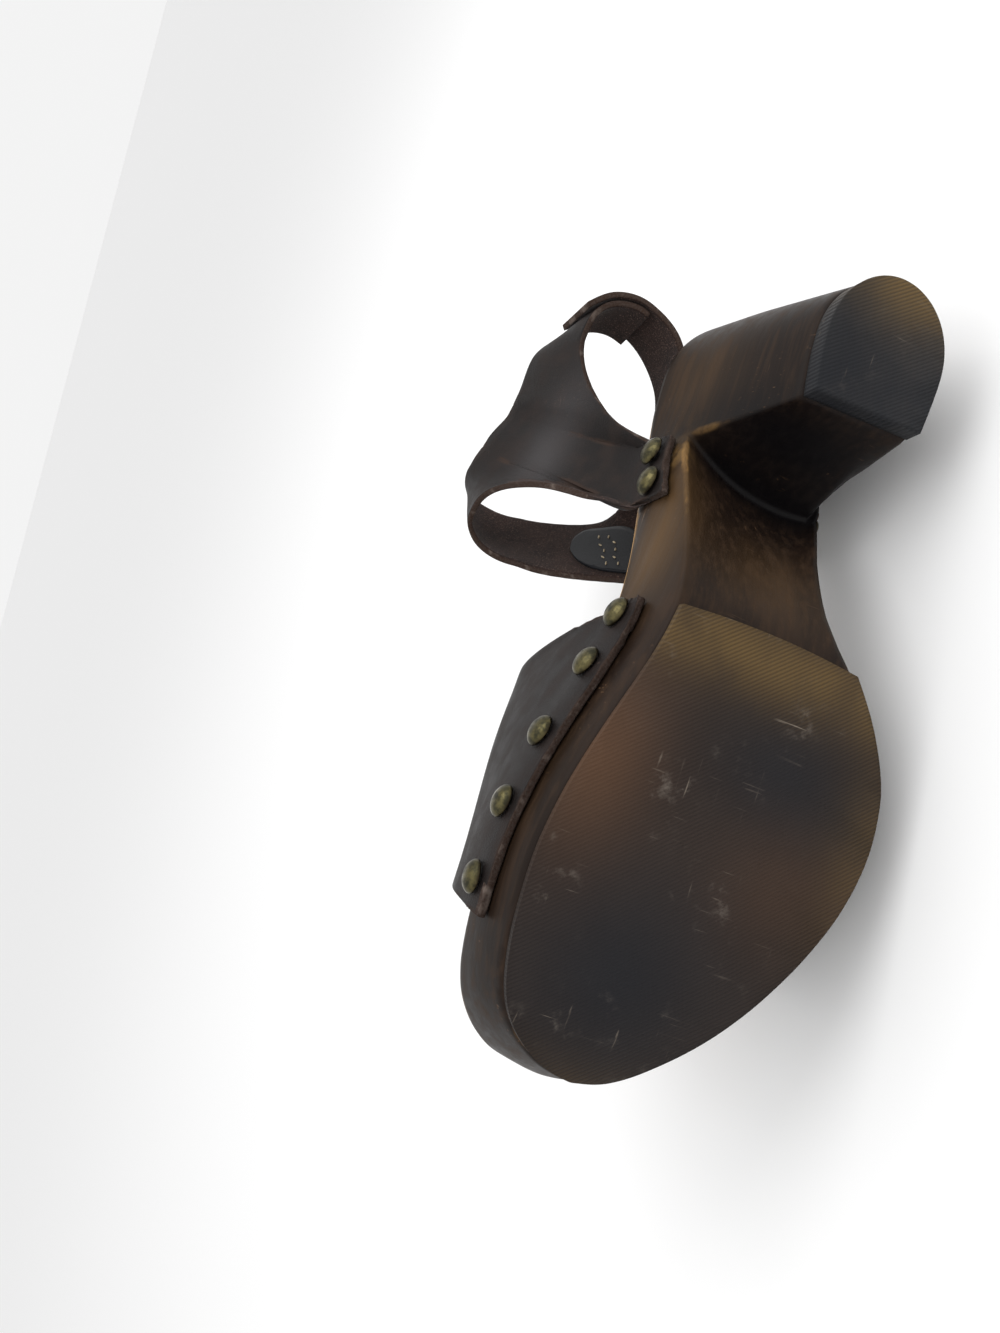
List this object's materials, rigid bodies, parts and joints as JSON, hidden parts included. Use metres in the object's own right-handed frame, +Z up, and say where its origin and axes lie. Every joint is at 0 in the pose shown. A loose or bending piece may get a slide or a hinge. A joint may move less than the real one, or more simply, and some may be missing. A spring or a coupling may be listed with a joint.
{
  "type": "wooden sole sandal",
  "caption": "Open-toed sandal with a carved wooden sole and block heel, a studded forefoot strap and a studded strap over the instep and round the ankle.",
  "frame": {"origin": "bottom centre of the bounding box of the sandal as it lies on its outer side", "axes": "+Z up from the floor; +Y from heel to toe along the sole; +X from the sole towards the open top of the straps"},
  "size_m": [0.1856, 0.2538, 0.1124],
  "materials": {
    "wood": "dark stained wood, worn to amber at the edges",
    "insole_leather": "smooth tan leather edge, slightly dulled on top",
    "sheet_rubber": "dark ribbed rubber with scuffs",
    "lift_rubber": "dark ribbed rubber with scuffs",
    "forefoot_leather": "dark satin leather, suede inside",
    "ankle_leather": "dark satin leather, suede inside",
    "shield_leather": "smooth dark leather",
    "stud_brass": "dulled antique brass"
  },
  "bodies": {
    "root": {"wood_sole": "wood", "insole": "insole_leather", "forefoot_sheet": "sheet_rubber", "heel_lift": "lift_rubber", "forefoot_strap": "forefoot_leather", "ankle_strap": "ankle_leather", "inner_shield": "shield_leather", "forefoot_stud_inner_1": "stud_brass", "forefoot_stud_inner_2": "stud_brass", "forefoot_stud_inner_3": "stud_brass", "forefoot_stud_inner_4": "stud_brass", "forefoot_stud_inner_5": "stud_brass", "forefoot_stud_outer_1": "stud_brass", "forefoot_stud_outer_2": "stud_brass", "forefoot_stud_outer_3": "stud_brass", "forefoot_stud_outer_4": "stud_brass", "forefoot_stud_outer_5": "stud_brass", "ankle_stud_inner_1": "stud_brass", "ankle_stud_inner_2": "stud_brass", "ankle_stud_outer_1": "stud_brass", "ankle_stud_outer_2": "stud_brass"}
  },
  "joints": []
}
